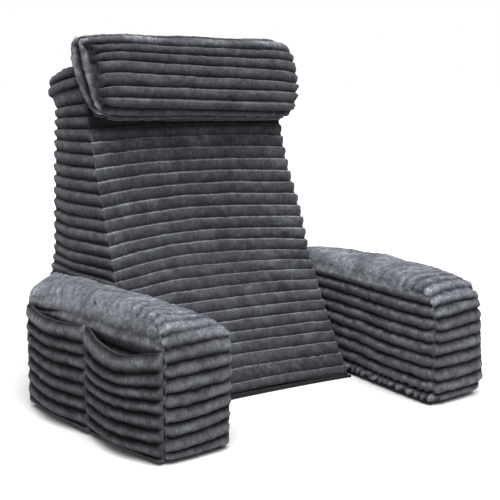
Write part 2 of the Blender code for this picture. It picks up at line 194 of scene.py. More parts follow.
def line_at(rib, lines):
    """Where a rib coordinate lies between the rib lines."""
    return np.interp(rib, np.arange(len(lines)), lines)


def edge_lines(length, spacing):
    """Stations from 0 to length, closer together by both ends."""
    near = np.array([0.0, 0.0010, 0.0024, 0.0043, 0.0068, 0.0100])
    between = np.linspace(near[-1], length - near[-1], max(2, round(length / spacing)))
    return np.concatenate([near[:-1], between, (length - near[:-1])[::-1]])


def shell_grid(cells):
    """The surface of a box of cells: the counters i, j, k of its points, and its faces."""
    sheets = []
    for axis in range(3):
        first, second = (axis + 1) % 3, (axis + 2) % 3
        a, b = np.meshgrid(np.arange(cells[first] + 1), np.arange(cells[second] + 1), indexing="ij")
        for end in (0, cells[axis]):
            counter = [None] * 3
            counter[axis], counter[first], counter[second] = np.full(a.shape, end), a, b
            number = np.ravel_multi_index(counter, np.array(cells) + 1)
            quads = np.stack([number[:-1, :-1], number[1:, :-1], number[1:, 1:],
                              number[:-1, 1:]], axis=-1).reshape(-1, 4)
            sheets.append(quads if end else quads[:, ::-1])
    numbers, quads = np.unique(np.concatenate(sheets), return_inverse=True)
    i, j, k = np.unravel_index(numbers, np.array(cells) + 1)
    return i, j, k, quads.reshape(-1, 4)


def face_out(points, quads):
    """Turns the faces round if the shell they close is inside out: its signed volume tells."""
    a, b, c, d = (points[quads[:, corner]] for corner in range(4))
    volume = np.sum(a * (np.cross(b, c) + np.cross(c, d)))
    return quads if volume > 0 else quads[:, ::-1]


def surface_normals(points, quads):
    """Unit normal at each point: the sum of the area vectors of the faces round it."""
    face = np.cross(points[quads[:, 2]] - points[quads[:, 0]],
                    points[quads[:, 3]] - points[quads[:, 1]])
    normal = np.stack([
        sum(np.bincount(quads[:, corner], face[:, axis], len(points)) for corner in range(4))
        for axis in range(3)], axis=-1)
    return normal / np.maximum(np.linalg.norm(normal, axis=1, keepdims=True), 1e-12)


def rumple(points, size, seed):
    """Smooth unevenness, mostly from -1 to 1, with lumps about size apart: the sum of 24 waves
    in seeded directions."""
    draw = np.random.default_rng(seed)
    way = draw.normal(size=(24, 3))
    way = way / np.linalg.norm(way, axis=1, keepdims=True)
    length = size * draw.uniform(1.2, 2.8, 24)
    turn = points @ (2 * np.pi * way / length[:, None]).T + draw.uniform(0, 2 * np.pi, 24)
    return np.sin(turn).sum(axis=1) / np.sqrt(24)


def smooth(x):
    """Eases from 0 to 1."""
    x = np.clip(x, 0.0, 1.0)
    return x * x * (3 - 2 * x)


def eased(a, b, radius):
    """Distances in from two faces of a box, moved so that the edge between them is round:
    in the corner square, each square line about its inner corner becomes a circle."""
    off_a = np.maximum(radius - a, 0.0)
    off_b = np.maximum(radius - b, 0.0)
    share = np.maximum(off_a, off_b) / np.maximum(np.hypot(off_a, off_b), 1e-9)
    return a + off_a * (1 - share), b + off_b * (1 - share)


def round_edges(walls, edges):
    """Rounds a box edge by edge. walls are the distances in from its faces, by name, and each
    edge is two of those names and a radius."""
    for first, second, radius in edges:
        walls[first], walls[second] = eased(walls[first], walls[second], radius)


def rib_wander(points, seed, ragged=0.030):
    """How far the rib lines stray, as a share of a rib: slow bends and small ragged ones."""
    return 0.02 * rumple(points, 0.050, seed) + ragged * rumple(points, 0.010, seed + 20)


def rib_depth(points, seed, share=1.0):
    """Depth of the ribs: RIB_DEPTH times a share that changes a little from place to place."""
    return RIB_DEPTH * (share + 0.12 * rumple(points, RIB_CHANGE_SIZE, seed + 3))


def tuft_height(points, seed):
    """Height of the small tufts of the pile."""
    return TUFT_HEIGHT * rumple(points, TUFT_SIZE, seed + 4)


def patchy(points, seed, nap, blotches):
    """A factor for the tone: 1, and uneven by a share in the nap and one in broad blotches."""
    return 1 + (nap * rumple(points, NAP_SIZE, seed + 6)
                + blotches * rumple(points, BLOTCH_SIZE, seed + 10))


def stuffed(points, quads, lump_depth, lump_size, seed, share):
    """The points of a shell, moved along its normals by a share of the lumps of its stuffing, its
    faces, turned outwards, and its normals."""
    quads = face_out(points, quads)
    normals = surface_normals(points, quads)
    lumps = lump_depth * rumple(points, lump_size, seed) * share
    return points + normals * lumps[:, None], quads, normals


def covered(points, normals, height):
    """The points, moved along the normals by the pile's height, but none under the sole."""
    points = points + normals * height[:, None]
    points[:, 2] = np.maximum(points[:, 2], SOLE)
    return points


def pile_height(rib, depth, crest=0.5):
    """Height of the pile over a rib: 0 on its crest and -depth in the groove. Across a rib it
    is the arch (1 - |across|^2.1)^0.7, its crest at the given share of the way up."""
    place = rib % 1.0
    place = np.where(place < crest, place / (2 * crest), 0.5 + (place - crest) / (2 - 2 * crest))
    across = np.abs(2 * place - 1)
    return depth * (np.clip(1 - across ** 2.1, 0, 1) ** 0.7 - 1)


def painted_pile_shade(height):
    """Painted shade of the pile: how much light it keeps, from its lighter crests to deep in the
    grooves.
    """
    return np.interp(-height / RIB_DEPTH, [0.0, 0.05, 0.13, 0.28, 0.55, 1.0],
                     [1.20, 1.02, 0.78, 0.42, 0.12, 0.02])


def combed_painted_light(rib):
    """Painted light and shade where the pile is combed up: lightest in a thin line along a rib's
    upper edge, a painted highlight, and darker below it.
    """
    return np.interp(rib % 1.0, [0.0, 0.05, 0.15, 0.35, 0.60, 0.80, 0.87, 0.92, 0.96, 1.0],
                     [0.28, 0.32, 0.42, 0.60, 0.77, 0.87, 0.98, 1.70, 1.70, 0.7])


def painted_edge_highlight(rib, place=0.90, spread=0.045):
    """1 along the upper edge of each rib, where a highlight is painted on the tips of the pile."""
    return np.exp(-((rib % 1.0 - place) / spread) ** 2)


def near_seam(distance, width):
    """1 at a seam, and 0 from the given distance on."""
    return np.clip(1 - distance / width, 0, 1)


def into_seam(height, near, depth):
    """Turns the plush down into a seam: its height shrinks as sqrt(1 - near^2), in a quarter
    circle, and it sinks by depth * near^2."""
    return height * np.sqrt(1 - near ** 2) - depth * near ** 2


def make_mesh(name, points, quads, marks):
    """A mesh piece with one value of each mark at each point."""
    mesh = bpy.data.meshes.new(name)
    mesh.vertices.add(len(points))
    mesh.vertices.foreach_set("co", points.astype(np.float32).ravel())
    mesh.loops.add(quads.size)
    mesh.loops.foreach_set("vertex_index", quads.astype(np.int32).ravel())
    mesh.polygons.add(len(quads))
    mesh.polygons.foreach_set("loop_start", np.arange(0, quads.size, 4, dtype=np.int32))
    for mark, values in marks.items():
        mesh.attributes.new(mark, "FLOAT", "POINT").data.foreach_set(
            "value", np.ascontiguousarray(values, dtype=np.float32))
    mesh.update(calc_edges=True)
    mesh.shade_smooth()
    piece = bpy.data.objects.new(name, mesh)
    scene.collection.objects.link(piece)
    return piece


def bump(tree, height, strength, distance):
    """A node that raises the surface by a height."""
    made = tree.nodes.new("ShaderNodeBump")
    made.inputs["Strength"].default_value = strength
    made.inputs["Distance"].default_value = distance
    tree.links.new(height, made.inputs["Height"])
    return made


def plush(name, seed, sheen):
    """Slate plush: deep slate, paler where the pile is brushed up and on its painted highlights,
    times soft blotches, speckled tips, streaks where it is brushed, and the painted light and
    shade, which darkens the grooves. Sheen lights it at a glancing angle, and two sizes of noise
    raise its tufts."""
    material, shader = new_material(name, 0.95, 0.15)
    tree = material.node_tree
    links = tree.links
    shader.inputs["Sheen Weight"].default_value = sheen
    shader.inputs["Sheen Roughness"].default_value = 0.45
    shader.inputs["Sheen Tint"].default_value = PLUSH_SHEEN

    def node(kind, **values):
        made = tree.nodes.new(kind)
        for key, value in values.items():
            setattr(made, key, value)
        return made

    def noise(scale, detail, stretch, roughness):
        """Noise over the piece, moved by its seed and stretched."""
        where = node("ShaderNodeMapping")
        where.inputs["Scale"].default_value = stretch
        where.inputs["Location"].default_value = (seed * 1.7, seed * 0.9, seed * 2.3)
        links.new(place.outputs["Object"], where.inputs["Vector"])
        made = node("ShaderNodeTexNoise")
        made.inputs["Scale"].default_value = scale
        made.inputs["Detail"].default_value = detail
        made.inputs["Roughness"].default_value = roughness
        links.new(where.outputs["Vector"], made.inputs["Vector"])
        return made.outputs["Fac"]

    def ramp(source, *stops):
        """Greys between two stops, each a position and a grey."""
        made = node("ShaderNodeValToRGB")
        for element, (position, grey) in zip(made.color_ramp.elements, stops):
            element.position = position
            element.color = (grey, grey, grey, 1.0)
        links.new(source, made.inputs["Fac"])
        return made.outputs["Color"]

    def blend(kind, factor, first, second):
        """Two colours mixed or multiplied; each value is a number, a colour or an output."""
        made = node("ShaderNodeMix", data_type="RGBA", blend_type=kind)
        for socket, value in ((made.inputs["Factor"], factor), (made.inputs[6], first),
                              (made.inputs[7], second)):
            if isinstance(value, bpy.types.NodeSocket):
                links.new(value, socket)
            else:
                socket.default_value = value
        return made.outputs[2]

    place = node("ShaderNodeTexCoord")
    # two marks: the painted light and shade of the pile, and its brushed places and painted
    # highlights
    painted_light_and_patches = node("ShaderNodeAttribute", attribute_name="painted_light_and_patches").outputs["Fac"]
    brushed_and_highlit = node("ShaderNodeAttribute", attribute_name="brushed_and_highlit").outputs["Fac"]
    blotches = ramp(noise(60.0, 4.0, (1, 1, 1), 0.6), (0.30, 0.70), (0.70, 1.38))
    tips = ramp(noise(300.0, 3.0, (1, 1, 0.45), 0.65), (0.30, 0.66), (0.70, 1.42))
    streaks = ramp(noise(230.0, 4.0, (1.0, 0.6, 1.0), 0.7), (0.36, 0.58), (0.64, 1.42))
    colour = blend("MIX", brushed_and_highlit, PLUSH_DEEP, PLUSH_PALE)
    for factor, layer in ((1.0, blotches), (1.0, tips), (brushed_and_highlit, streaks), (1.0, painted_light_and_patches)):
        colour = blend("MULTIPLY", factor, colour, layer)
    links.new(colour, shader.inputs["Base Color"])
    fine = bump(tree, noise(700.0, 3.0, (1, 1, 1), 0.65), 0.5, 0.0010)
    tufts = bump(tree, noise(150.0, 3.0, (1, 1, 1), 0.6), 0.7, 0.0030)
    links.new(fine.outputs["Normal"], tufts.inputs["Normal"])
    links.new(tufts.outputs["Normal"], shader.inputs["Normal"])
    return material


def plush_piece(name, points, quads, painted_light_and_patches, brushed_and_highlit, seed, sheen=0.13):
    """A finished piece of plush, with the painted light and the brushed and highlit marks that its
    material reads.
    """
    piece = make_mesh(name, points + MARK, quads, {"painted_light_and_patches": painted_light_and_patches, "brushed_and_highlit": brushed_and_highlit})
    piece.data.materials.append(plush(name + "_plush", seed, sheen))
    return piece


def inner_side(arm):
    """The three plan points of an arm's bent inner side, and how far along it each one lies."""
    inner = np.array([arm["front_inner"], (arm["side"] * ARM_BEND[0], ARM_BEND[1]),
                      (arm["side"] * ARM_REAR_INNER[0], ARM_REAR_INNER[1])])
    return inner, np.append(0.0, np.cumsum(np.linalg.norm(np.diff(inner, axis=0), axis=1)))


def arm_ground(arm, u, b):
    """Plan point at share u of the way out and distance b along the bent inner side."""
    inner, runs = inner_side(arm)
    outer = np.array([arm["front_outer"], arm["rear_outer"]])
    v = b / runs[-1]
    return [(1 - u) * np.interp(b, runs, inner[:, axis])
            + u * (outer[0, axis] + v * (outer[1, axis] - outer[0, axis])) for axis in (0, 1)]


def line_height(rib, u, v, lines):
    """Height of a rib coordinate, from the rib lines at the four upright edges of an arm."""
    shares = ((1 - v) * (1 - u), (1 - v) * u, v * (1 - u), v * u)
    return sum(share * line_at(rib, heights) for share, heights in zip(shares, lines))


def line_count(z, u, v, lines):
    """The other way round: the rib coordinate at height z."""
    front_inner, front_outer, rear_inner, rear_outer = (
        np.interp(z, heights, np.arange(len(heights))) for heights in lines)
    inner = (1 - v) * front_inner + v * rear_inner
    outer = (1 - v) * front_outer + v * rear_outer
    return (1 - u) * inner + u * outer


def eased_arm(arm, a, b, z, width, depth):
    """The grid of an arm with its edges rounded: across it, along it and up, and then how far
    each point is from the top, and the radius of the front roll there."""
    u = a / width
    roll, foot = (inner * (1 - u) + outer * u for inner, outer in (arm["front_roll"], arm["foot"]))
    walls = {"front": b, "rear": depth - b, "inner": a, "outer": width - a,
             "top": ARM_TOP - z, "foot": z - SOLE}
    round_edges(walls, (
        ("front", "top", roll), ("rear", "top", ARM_REAR_ROLL),
        ("inner", "top", ARM_INNER_EDGE), ("outer", "top", ARM_OUTER_EDGE),
        ("inner", "front", ARM_CORNER), ("outer", "front", arm["outer_corner"]),
        ("inner", "rear", ARM_CORNER), ("outer", "rear", ARM_CORNER),
        ("front", "foot", foot), ("outer", "foot", foot),
        ("inner", "foot", ARM_INNER_FOOT), ("rear", "foot", ARM_REAR_FOOT)))
    a = np.where(a < width / 2, walls["inner"], width - walls["outer"])
    b = np.where(b < depth / 2, walls["front"], depth - walls["rear"])
    z = np.where(z < ARM_TOP / 2, SOLE + walls["foot"], ARM_TOP - walls["top"])
    return a, b, z, walls["top"], roll


def arm_crown(arm, u, v, b, z, to_top, roll):
    """Crown of an arm's strip, the angle it stands at, from 0 on the front to a right angle on
    the top, and the way along the strip from its front foot. Across the strip, the crown goes
    as (1 - |2u - 1|^2.6)^0.6."""
    turn = np.arctan2(np.maximum(roll - to_top, 0), np.maximum(roll - b, 1e-6))
    turn = np.where(to_top > roll, 0.0, turn)
    along = np.where(turn > 0, ARM_TOP - roll + roll * turn, ARM_TOP - to_top)
    along = np.where(z < ARM_TOP / 2, z, along) + np.maximum(b - roll, 0) * (turn > 0)
    crown = np.interp(along, ARM_CROWN_AT, ARM_CROWN) + arm["rise"] * smooth((along - 0.13) / 0.05)
    crown = crown * np.sqrt(np.clip((1 - v) / 0.30, 0, 1))
    return crown * (1 - np.abs(2 * u - 1) ** 2.6) ** 0.6, turn, along


def stuffed_arm(name, arm):
    """A stuffed arm: a box of grid lines, its edges eased round, swollen and crowned, and then
    covered with pile that is raised along the surface normals. i runs outwards, j backwards and
    k up; u and v are the shares of the way out and back."""
    side, seed = arm["side"], arm["seed"]
    width = np.linalg.norm(np.subtract(arm["front_outer"], arm["front_inner"]))
    depth = inner_side(arm)[1][-1]
    across = edge_lines(width, 0.0042)
    columns = edge_lines(depth, 0.0025)
    rows = rib_lines(len(arm["lines"][0]) - 1)
    i, j, k, quads = shell_grid((len(across) - 1, len(columns) - 1, len(rows) - 1))
    at_foot, at_rear = k == 0, j == len(columns) - 1
    strip = (j == 0) | (k == len(rows) - 1) | at_rear
    a, b = across[i], columns[j]
    z = line_height(rows[k], a / width, b / depth, arm["lines"])
    panel_a = np.minimum(a, width - a)
    panel_b = np.minimum(b, depth - b)
    panel_top = ARM_TOP - z
    a, b, z, to_top, roll = eased_arm(arm, a, b, z, width, depth)
    u, v = a / width, b / depth
    x, y = arm_ground(arm, u, b)
    # it swells into the seat and bulges outwards, and its sides lean
    rise = z / ARM_TOP
    in_seat = np.sin(np.pi * np.clip(v / BESIDE_SEAT, 0, 1))
    into_seat = arm["swell"] * np.sin(np.pi * np.clip(rise, 0, 1)) * in_seat * (1 - u) ** 4
    outwards = (ARM_BELLY * np.sin(np.pi * v) - arm["lean"][1] * rise ** 2) * u ** 4
    inner_lean = arm["lean"][0] * smooth((rise - 0.55) / 0.4) * in_seat ** 0.5 * (1 - u) ** 4
    x = x + side * (outwards - into_seat + inner_lean)
    # the seam round the top climbs on the outer side
    climb = arm["outer_rise"] * smooth((z - 0.122) / 0.046) * smooth(1.5 * u - 0.5)
    climb = climb * smooth((0.9 - v) / 0.3)
    by_height = line_count(z, u, v, arm["lines"])
    crown, turn, along = arm_crown(arm, u, v, b, z, to_top, roll)
    crown = crown * (strip & ~at_foot)
    y = y - crown * np.cos(turn)
    z = z + climb + crown * np.sin(turn)
    points = np.stack([x, y, z], axis=-1)
    points, quads, normals = stuffed(points, quads, LUMP_DEPTH, 0.055, seed, smooth(z / 0.03))
    # ribs: by height on the side panels and the rear, along the strip on the front and the top,
    # and meeting raggedly at the upright corners
    on_strip = along + climb
    by_strip = np.where(on_strip < FRONT_RIBS_TO, line_count(on_strip, u, 0, arm["lines"]),
                        FRONT_RIBS + (on_strip - FRONT_RIBS_TO) / RIB_PITCH)
    rib = np.where(strip & ~at_rear, by_strip, by_height)
    corner = near_seam(np.where(strip, panel_a, panel_b), 0.016)
    notch = np.where(strip, rumple(points, 0.009, seed + 13), rumple(points, 0.009, seed + 14))
    rib = rib + (rib_wander(points, seed + 1) + 0.10 * corner * notch) * (rib > 0.5)
    # the top is brushed every way, and a ragged fringe of painted highlight runs along the upper
    # edges of the ribs
    on_crown = smooth(turn / 1.2) * strip * ~at_rear
    swirl = 0.5 * rumple(points, 0.035, seed + 2) + 0.5 * rumple(points, TUFT_SIZE, seed + 8)
    brushed_and_highlit = smooth(0.56 + 0.36 * swirl) * on_crown
    fringe_highlight = painted_edge_highlight(rib, 0.80, 0.13) * smooth(0.45 + 0.9 * rumple(points, 0.014, seed + 7))
    brushed_and_highlit = np.maximum(brushed_and_highlit, np.where(strip, 0.25, 0.75) * fringe_highlight * (1 - on_crown))
    flattened = 0.60 + arm["matted"] * smooth((along - 0.205) / 0.060)
    flattened = flattened * smooth((turn - arm["flat_from"]) / 0.6) * strip * ~at_rear
    depth_here = rib_depth(points, seed) * (1 - flattened)
    # the left arm's outer side is brushed over like its top, above the mouths of the pockets
    outer_half = (side < 0) * (u > 0.5)
    brushed_over = outer_half * ~strip * smooth((points[:, 2] - 0.148) / 0.014)
    depth_here = depth_here * (1 - 0.70 * brushed_over)
    brushed_and_highlit = np.maximum(brushed_and_highlit, (0.34 + 0.34 * swirl) * brushed_over)
    # the ribs' crests are higher up on the side panels that face left
    crest = np.where(strip, 0.46, np.where(side * (u - 0.5) < 0, 0.62, 0.5))
    pile = pile_height(rib, np.where(at_foot, 0.0, depth_here), crest)
    seam = np.where(strip, near_seam(panel_a, 0.003), near_seam(panel_b, 0.004))
    top_seam = np.where(strip, seam * smooth(turn), near_seam(panel_top, 0.006))
    seam = np.where(at_foot, 0.0, seam * (1 - 0.75 * smooth(turn * 1.5) * strip * ~at_rear))
    height = into_seam(pile, seam, 0.0014) - 0.0012 * top_seam * (1 - 0.75 * outer_half)
    # pleats on the bottom rib of the right arm's inner side
    bend = 2.2 * rumple(points, 0.026, seed + 5)
    pleat = np.sin(2 * np.pi * (0.75 * y + 0.65 * z) / PLEAT_PITCH + bend)
    pleated = (side > 0) * (u < 0.15) * smooth((0.026 - z) / 0.006) * smooth((0.30 - b) / 0.05)
    pleated = pleated * smooth(0.95 + 0.45 * rumple(points, 0.025, seed + 9))
    height = height + PLEAT_DEPTH * pleat * pleated * ~at_foot
    # the left arm's outer side lies flatter behind the pockets
    behind = (side < 0) * (i == len(across) - 1) * smooth((POCKETED_UP_TO - z) / 0.010)
    behind = behind * smooth((b - 0.004) / 0.008) * smooth((POCKETED_TO - b) / 0.006)
    height = height - BEHIND_POCKETS * behind
    nap = rumple(points, NAP_SIZE, seed + 6)
    tufts = (tuft_height(points, seed) + 0.0005 * nap * on_crown) * ~at_foot
    points = covered(points, normals, height + tufts)
    # painted light and shade: dark in the grooves and lighter on the crests, evened out towards the
    # seams; the side panels painted lighter than the strip, a little darker where the left arm's
    # outer side is brushed over, and the top lighter still; painted light and shade on the crests
    # and hollows of the pleats; painted shade behind the pockets and on the foot. The nap and
    # blotches make it uneven.
    painted_light_and_patches = painted_pile_shade(pile) * (1 - 0.5 * seam) + 0.5 * seam
    painted_light_and_patches = painted_light_and_patches * (1 + (0.12 * nap + 0.10 * rumple(points, BLOTCH_SIZE, seed + 10)))
    painted_light_and_patches = painted_light_and_patches * np.where(strip, 1.08 + arm["top_painted_light"] * on_crown, 1.20 - 0.14 * brushed_over)
    painted_light_and_patches = painted_light_and_patches * (1 + pleated * (0.62 - smooth(0.5 - 1.2 * pleat))) * (1 - 0.4 * behind)
    painted_light_and_patches = np.where(at_foot, UNDER_PAINTED_SHADE, painted_light_and_patches)
    return plush_piece(name, points, quads, painted_light_and_patches, brushed_and_highlit, seed)


for arm_side, arm in ARMS.items():
    arm_piece = stuffed_arm("stuffed_arm_" + arm_side, arm)
    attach(arm_piece, "root")
    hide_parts("arm_" + arm_side)

# ----------------------------------------------------------
# Back cushion: one boxed case of the ribbed plush, stuffed firm. Its front leans back and is
# dished by use, its lower sides stand between the arms, its back is upright, and its boxed top
# corners stick out as lumps beside the neck roll.
CUSHION_TOP = 0.500
CUSHION_HALF = 0.183
CUSHION_DEPTH = 0.150
CUSHION_EDGE = 0.011
CUSHION_TOP_RIBS = 4
CUSHION_BULGE = 0.010  # how far the back swells out, and the sides above the arms
CUSHION_SIDE_BULGE = 0.012
EAR_BULGE = 0.011  # how far the top corners stick out further
TOP_FALL = 0.026  # how much lower the top is at the back
TOP_CROWN = 0.008
CRUMPLE_PITCH, CRUMPLE_DEPTH = 0.012, 0.0016  # crumples of the plush low on the front
COMBED_CREST = 0.76  # where the crest of a rib is whose pile is combed up
# Rib lines from the foot to the top, in millimetres: in the middle of the front, and at its
# two side seams
CUSHION_MIDDLE_LINES = 0.001 * np.array([
    8, 21, 38, 55, 70.5, 85.4, 102, 118.3, 135, 151, 167.6, 183.7, 200, 217.7, 234.5, 252.8, 270.8,
    290, 308.5, 328, 346.5, 366.5, 384.5, 404, 423.5, 443, 462, 481, 500])
CUSHION_SEAM_LINES = 0.001 * np.array([
    4, 18, 36, 53, 69, 84, 100, 116, 132, 147, 163, 178, 192.6, 209.7, 228, 247, 265.2, 284.5,
    303.8, 322.3, 341.8, 361.5, 380.5, 400, 419.5, 439, 459, 480, 500])
# Level, place of the front seams, depth of the dish between them, place of the back
LEVEL, FRONT, DISH, BACK = range(4)
CUSHION_LEVELS = np.array([
    [0.000, -0.045, 0.008, 0.274],
    [0.020, -0.033, 0.010, 0.277],
    [0.038, -0.017, 0.012, 0.280],
    [0.070, 0.004, 0.016, 0.284],
    [0.120, 0.033, 0.016, 0.284],
    [0.170, 0.061, 0.026, 0.282],
    [0.200, 0.077, 0.036, 0.280],
    [0.265, 0.100, 0.038, 0.276],
    [0.320, 0.121, 0.026, 0.271],
    [0.380, 0.141, 0.008, 0.265],
    [0.430, 0.154, 0.000, 0.260],
    [0.500, 0.174, 0.000, 0.255],
])


def level_value(z, column):
    """A column of the level table at heights z, its bends evened out over 20 mm."""
    shifts = np.linspace(-0.010, 0.010, 5)
    return sum(np.interp(z + shift, CUSHION_LEVELS[:, LEVEL], CUSHION_LEVELS[:, column])
               for shift in shifts) / len(shifts)


def to_arms(way, y):
    """How far from the middle the arms stand at y: the left one where way is negative."""
    left, right = (np.interp(y, [arm["front_inner"][1], ARM_BEND[1]],
                             [abs(arm["front_inner"][0]), ARM_BEND[0]]) for arm in ARMS.values())
    return np.where(way < 0, left, right)


def stuffed_cushion(name, seed):
    """The back cushion, built up like an arm. i runs to the right, j backwards and k up; u goes
    from -1 at its left side to 1 at its right one, and v from 0 on its face to 1 on its back.
    Its rib lines and its dish change from the middle to the side seams as u^2."""
    across = edge_lines(2 * CUSHION_HALF, 0.0045)
    along = edge_lines(CUSHION_DEPTH, 0.0042)
    rows = rib_lines(len(CUSHION_SEAM_LINES) - 1)
    i, j, k, quads = shell_grid((len(across) - 1, len(along) - 1, len(rows) - 1))
    on_face, on_top, at_foot = j == 0, k == len(rows) - 1, k == 0
    on_side = (i == 0) | (i == len(across) - 1)
    rib, a = rows[k], across[i]
    u = a / CUSHION_HALF - 1
    v = along[j] / CUSHION_DEPTH
    seam_line = line_at(rib, CUSHION_SEAM_LINES)
    z = line_at(rib, CUSHION_MIDDLE_LINES) * (1 - u * u) + seam_line * u * u
    z = z * (1 - v) + v * seam_line
    thick = level_value(z, BACK) - level_value(z, FRONT) - level_value(z, DISH) * (1 - u * u)
    b = v * thick
    walls = {"left": a, "right": 2 * CUSHION_HALF - a, "front": b, "back": thick - b,
             "top": CUSHION_TOP - z}
    panel_side = np.minimum(walls["left"], walls["right"])
    panel_depth = np.minimum(walls["front"], walls["back"])
    panel_top = walls["top"]
    round_edges(walls, [(first, second, CUSHION_EDGE) for first, second in (
        ("left", "front"), ("right", "front"), ("left", "back"), ("right", "back"),
        ("front", "top"), ("back", "top"), ("left", "top"), ("right", "top"))])
    a = np.where(u < 0, walls["left"], 2 * CUSHION_HALF - walls["right"])
    b = np.where(v < 0.5, walls["front"], thick - walls["back"])
    z = CUSHION_TOP - walls["top"]
    u = a / CUSHION_HALF - 1
    v = b / thick
    front = level_value(z, FRONT) + level_value(z, DISH) * (1 - u * u)
    swell = np.sqrt(np.sin(np.pi * np.clip(z / CUSHION_TOP, 0, 1)))
    back = level_value(z, BACK) + 0.003 + CUSHION_BULGE * swell * (1 - u * u)
    y = front + v * (back - front)
    # low down it lies against the arms, and above them it is free to bulge, most at its ears
    ear = smooth((z - 0.453) / 0.012) * smooth((0.512 - z) / 0.030)
    free = CUSHION_HALF + CUSHION_SIDE_BULGE * np.sin(np.pi * v) + EAR_BULGE * ear
    free = free + 0.003 * v + 0.009 * (u > 0) * smooth((0.36 - z) / 0.16)
    against = to_arms(u, y) - 0.001
    freed = smooth((z - 0.150) / 0.050)
    x = u * (against + freed * (free - against))
    z = z - TOP_FALL * v * smooth((z - 0.36) / 0.143)
    z = z + on_top * TOP_CROWN * (1 - u ** 4) * np.sin(np.pi * v)
    points = np.stack([x, y, z], axis=-1)
    points, quads, normals = stuffed(points, quads, LUMP_DEPTH, 0.080, seed, smooth(z / 0.04))
    wobble = rib_wander(points, seed + 1, 0.016) * (rib > 0.5)
    depth_here = rib_depth(points, seed) * ~at_foot * np.where(on_face, 0.68, 1.0)
    rib = np.where(on_top, CUSHION_TOP_RIBS * v, rib + wobble)
    pile = pile_height(rib, depth_here, COMBED_CREST)
    distance = np.where(on_top, np.minimum(panel_side, panel_depth),
                        np.minimum(np.where(on_side, panel_depth, panel_side), panel_top))
    seam = near_seam(distance, 0.006) * ~at_foot
    height = into_seam(pile, seam, 0.0025)
    bend = 1.5 * rumple(points, 0.020, seed + 5)
    crumple = np.sin(2 * np.pi * (0.9 * x + 0.5 * z) / CRUMPLE_PITCH + bend)
    crumpled = on_face * smooth((0.042 - z) / 0.008) * smooth((z - 0.018) / 0.008) * ~at_foot
    height = height + CRUMPLE_DEPTH * crumple * crumpled
    tufts = tuft_height(points, seed) * ~at_foot
    points = covered(points, normals, height + tufts)
    # painted light and shade: combed painted light on the face, a little darker low down, and the
    # sides painted darker, with shade in their grooves; evened out towards the seams, with a
    # painted highlight along the side seams of the face
    painted_light_and_patches = np.where(on_face, (0.90 + 0.06 * smooth((z - 0.06) / 0.10)) * combed_painted_light(rib),
                    0.80 * painted_pile_shade(pile))
    painted_light_and_patches = painted_light_and_patches * (1 - 0.4 * seam) + 0.4 * seam
    seam_highlight = near_seam(panel_side, 0.0045) * on_face
    painted_light_and_patches = painted_light_and_patches + 0.25 * seam_highlight * (1 + 0.8 * rumple(points, 0.009, seed + 12))
    # the roll's painted shadow, hard under its own edge; the ribs below it are softly evened out
    # with painted light and painted highlights along their upper edges
    below_roll = smooth((z - 0.29) / 0.07) * smooth((0.393 - z) / 0.005) * on_face
    painted_light_and_patches = painted_light_and_patches * (1 + 0.22 * below_roll - 0.80 * smooth((z - 0.391) / 0.008) * on_face)
    painted_light_and_patches = painted_light_and_patches + painted_edge_highlight(rib, 0.94, 0.03) * below_roll
    # painted shade in the hollows of the crumples low on the face; the nap and blotches make it
    # uneven
    painted_light_and_patches = painted_light_and_patches * patchy(points, seed, 0.12, 0.08) * (1 - 0.3 * crumpled * (crumple < 0))
    painted_light_and_patches = np.where(at_foot, UNDER_PAINTED_SHADE, painted_light_and_patches)
    # paler where the pile is ruffled, and painted highlights along the ribs' upper edges and the
    # side seams of the face
    ruffled = smooth(rumple(points, 0.040, seed + 2) - 0.4)
    brushed_and_highlit = 0.30 * ruffled + 0.55 * painted_edge_highlight(rib) + 0.2 * seam_highlight
    return plush_piece(name, points, quads, painted_light_and_patches, brushed_and_highlit, seed)


cushion_piece = stuffed_cushion("stuffed_back_cushion", seed=51)
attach(cushion_piece, "root")
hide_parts("back_cushion")

# ----------------------------------------------------------
# Neck roll: a boxed bolster. Its front panel has six ribs along it, gathered a little at both
# ends; the strip sewn round it is two ribs wide, and they follow its outline round the ends.
# It leans with the cushion and hangs down a little to the right.
ROLL_CENTRE = np.array([-0.009, 0.1646, 0.4635])
ROLL_LEAN = np.radians(16.0)
ROLL_HALF_WIDTH = 0.197
ROLL_HALF_HEIGHT = 0.0645
ROLL_DEPTH = 0.079
ROLL_TAPER = 0.055  # length over which its ends draw together
ROLL_END_SPAN = (0.012, 0.050)  # and where their back and their front are, out from its back
ROLL_END_SHRINK = 0.10
ROLL_TOP_RADII = (0.007, 0.036)  # of the top corners of its left and its right end
ROLL_SET_BACK = 0.014  # how far the left end of the front panel stands back
ROLL_HANG = 0.02  # how much it drops to the right, as a slope
ROLL_LUMP_DEPTH = 0.0010
ROLL_STRIP_RIBS = 2
ROLL_BACK_RIBS = 9
# Angles of the rib lines round its section, from the lower seam of the front panel to the
# upper one: a third of the way along from the left end, and a sixth from the right end
ROLL_LINES = ((-54.0, -36.0, -21.0, -4.0, 12.0, 25.0, 37.0),
              (-58.5, -39.0, -23.0, -8.5, 7.5, 22.5, 35.0))
ROLL_BACK_LINES = (-99.0, -276.0)
# How far the left and the right end draw in at heights above the underside
LOW_CUT_AT = (0.0, 0.003, 0.007, 0.012, 0.018, 0.026, 0.042, 0.060, 0.080)
LOW_CUTS = ((0.040, 0.030, 0.024, 0.020, 0.0165, 0.013, 0.008, 0.003, 0.0),
            (0.026, 0.018, 0.013, 0.010, 0.007, 0.004, 0.000, -0.002, -0.002))


def roll_section(angle):
    """Distance out and up of the roll's section at an angle in degrees: an even oval,
    |out|^3 + |up|^3 = 1, scaled to its depth and height."""
    out, rise = np.cos(np.radians(angle)), np.sin(np.radians(angle))
    reach = (np.abs(out) ** 3 + np.abs(rise) ** 3) ** (1 / 3)
    return np.stack([ROLL_DEPTH / 2 * (1 + out / reach), ROLL_HALF_HEIGHT * rise / reach])


